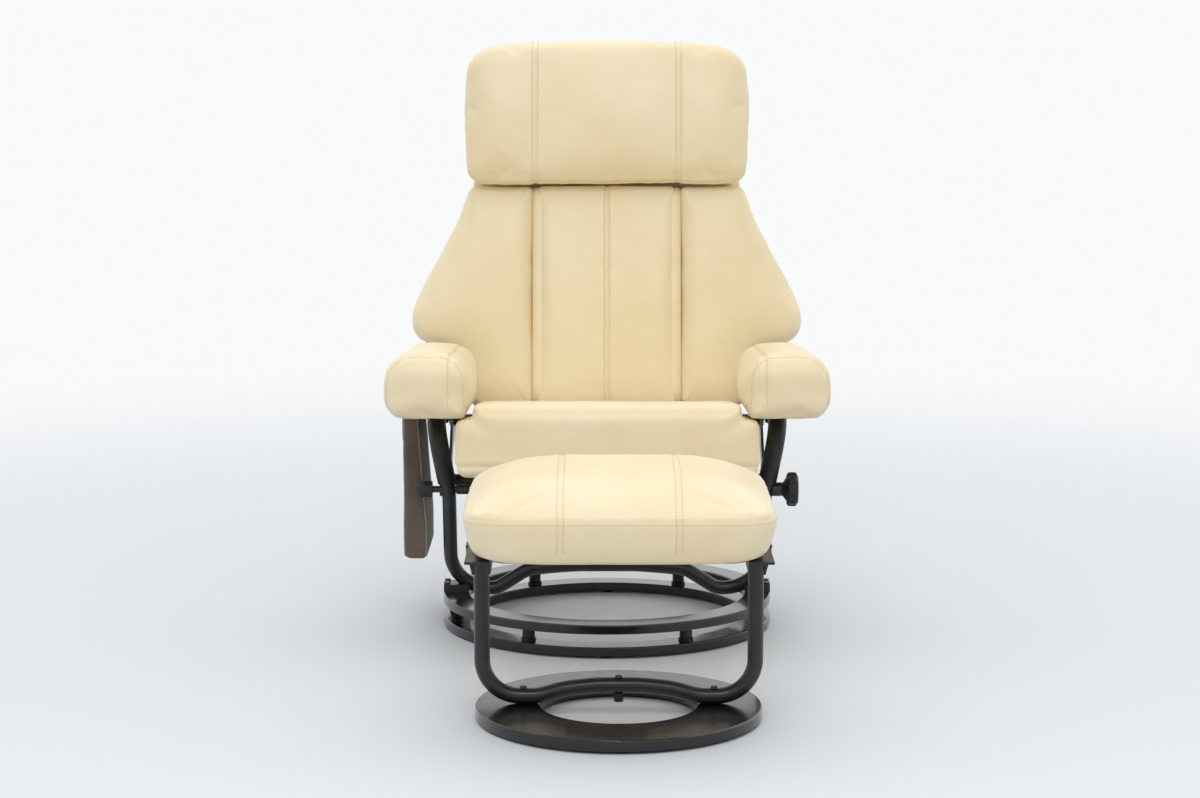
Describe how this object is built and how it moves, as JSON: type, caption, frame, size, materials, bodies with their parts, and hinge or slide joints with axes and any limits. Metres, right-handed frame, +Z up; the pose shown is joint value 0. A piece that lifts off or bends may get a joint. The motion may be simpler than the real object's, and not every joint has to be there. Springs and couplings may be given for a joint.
{
  "type": "massage recliner with footstool",
  "caption": "Swivelling leather massage recliner on a double ring base, with side pocket, handset and a matching footstool.",
  "frame": {"origin": "on the chair's swivel axis, at floor level", "axes": "+Z up; the chair faces -Y, so +Y runs to its back; +X is on the right as seen from the front"},
  "size_m": [0.772, 1.411, 1.0502],
  "materials": {
    "base_gloss_black": "gloss",
    "frame_satin_black": "satin",
    "black_plastic": "matt",
    "foot_rubber": "matt",
    "zinc_steel": "satin",
    "cream_leather": "soft semi-gloss",
    "plywood": "raw",
    "taupe_fabric": "woven",
    "webbing_fabric": "woven",
    "motor_steel": "satin",
    "circuit_board": "matt",
    "key_grey": "matt"
  },
  "bodies": {
    "base": {"floor_ring": "base_gloss_black", "floor_pads": "foot_rubber", "swivel_posts": "black_plastic", "post_screws": "zinc_steel"},
    "frame": {"upper_ring": "base_gloss_black", "keeper_rings": "base_gloss_black", "keeper_screws": "zinc_steel", "u_frame": "frame_satin_black", "rail_end_caps": "black_plastic", "frame_saddles": "frame_satin_black", "upright_sleeves": "black_plastic", "clamp_studs": "frame_satin_black", "spacers": "frame_satin_black", "slide_bushes": "black_plastic", "cap_nut": "black_plastic", "stud_bosses": "frame_satin_black", "hinge_plates": "frame_satin_black", "rear_cross_bar": "frame_satin_black", "seat_glides": "black_plastic", "pivot_bolts": "zinc_steel", "frame_bolts": "frame_satin_black", "armrest_left": "cream_leather", "armrest_right": "cream_leather", "arm_boards": "plywood", "arm_clips": "frame_satin_black", "side_pocket": "taupe_fabric"},
    "knob": {"tension_knob": "black_plastic"},
    "seat": {"seat_cushion": "cream_leather", "seat_frame": "frame_satin_black", "seat_webbing": "webbing_fabric", "seat_brackets": "frame_satin_black", "seat_motor_board": "plywood", "seat_motors": "motor_steel", "control_box": "black_plastic", "control_box_lid": "black_plastic", "control_pcb": "circuit_board", "power_inlet": "black_plastic", "seat_runners": "black_plastic"},
    "backrest": {"side_bolster_left": "cream_leather", "side_bolster_right": "cream_leather", "back_cushion": "cream_leather", "upper_back_pad": "cream_leather", "headrest_pillow": "cream_leather", "back_board": "plywood", "back_shell": "cream_leather", "back_frame": "frame_satin_black", "pivot_tube": "frame_satin_black", "back_motors": "motor_steel"},
    "handset": {"handset_case": "black_plastic"},
    "key_power": {"key_power": "key_grey"},
    "key_mode": {"key_mode": "key_grey"},
    "key_weaker": {"key_weaker": "key_grey"},
    "key_stronger": {"key_stronger": "key_grey"},
    "stool": {"stool_ring": "base_gloss_black", "stool_pads": "foot_rubber", "stool_frame": "frame_satin_black", "stool_bolts": "frame_satin_black", "stool_rails": "frame_satin_black", "stool_board": "plywood", "stool_cushion": "cream_leather"}
  },
  "joints": [
    {"name": "swivel", "type": "hinge", "parent": "base", "child": "frame", "pos_m": [0, 0, 0.043], "axis": [0, 0, 1], "continuous": true},
    {"name": "recline", "type": "hinge", "parent": "frame", "child": "backrest", "pos_m": [0, 0.25, 0.335], "axis": [-1, 0, 0], "range_deg": [0, 32]},
    {"name": "seat_slide", "type": "slide", "parent": "frame", "child": "seat", "axis": [0, -0.9903, 0.1392], "range_m": [0, 0.03]},
    {"name": "knob_turn", "type": "hinge", "parent": "frame", "child": "knob", "pos_m": [0.32, -0.059, 0.256], "axis": [1, 0, 0], "range_deg": [0, 270]},
    {"name": "handset_lift", "type": "slide", "parent": "frame", "child": "handset", "axis": [0, 0, 1], "range_m": [0, 0.1]},
    {"name": "key_power_press", "type": "slide", "parent": "handset", "child": "key_power", "axis": [1, 0, 0], "range_m": [0, 0.0012], "stiffness_N_per_m": 600, "springref_m": -0.0005},
    {"name": "key_mode_press", "type": "slide", "parent": "handset", "child": "key_mode", "axis": [1, 0, 0], "range_m": [0, 0.0012], "stiffness_N_per_m": 600, "springref_m": -0.0005},
    {"name": "key_weaker_press", "type": "slide", "parent": "handset", "child": "key_weaker", "axis": [1, 0, 0], "range_m": [0, 0.0012], "stiffness_N_per_m": 600, "springref_m": -0.0005},
    {"name": "key_stronger_press", "type": "slide", "parent": "handset", "child": "key_stronger", "axis": [1, 0, 0], "range_m": [0, 0.0012], "stiffness_N_per_m": 600, "springref_m": -0.0005},
    {"name": "stool_move", "type": "slide", "parent": "base", "child": "stool", "axis": [0, -1, 0], "range_m": [0, 0.4]}
  ],
  "couplings": [
    {"joint": "seat_slide", "follows": "recline", "m_per_rad": 0.05}
  ]
}
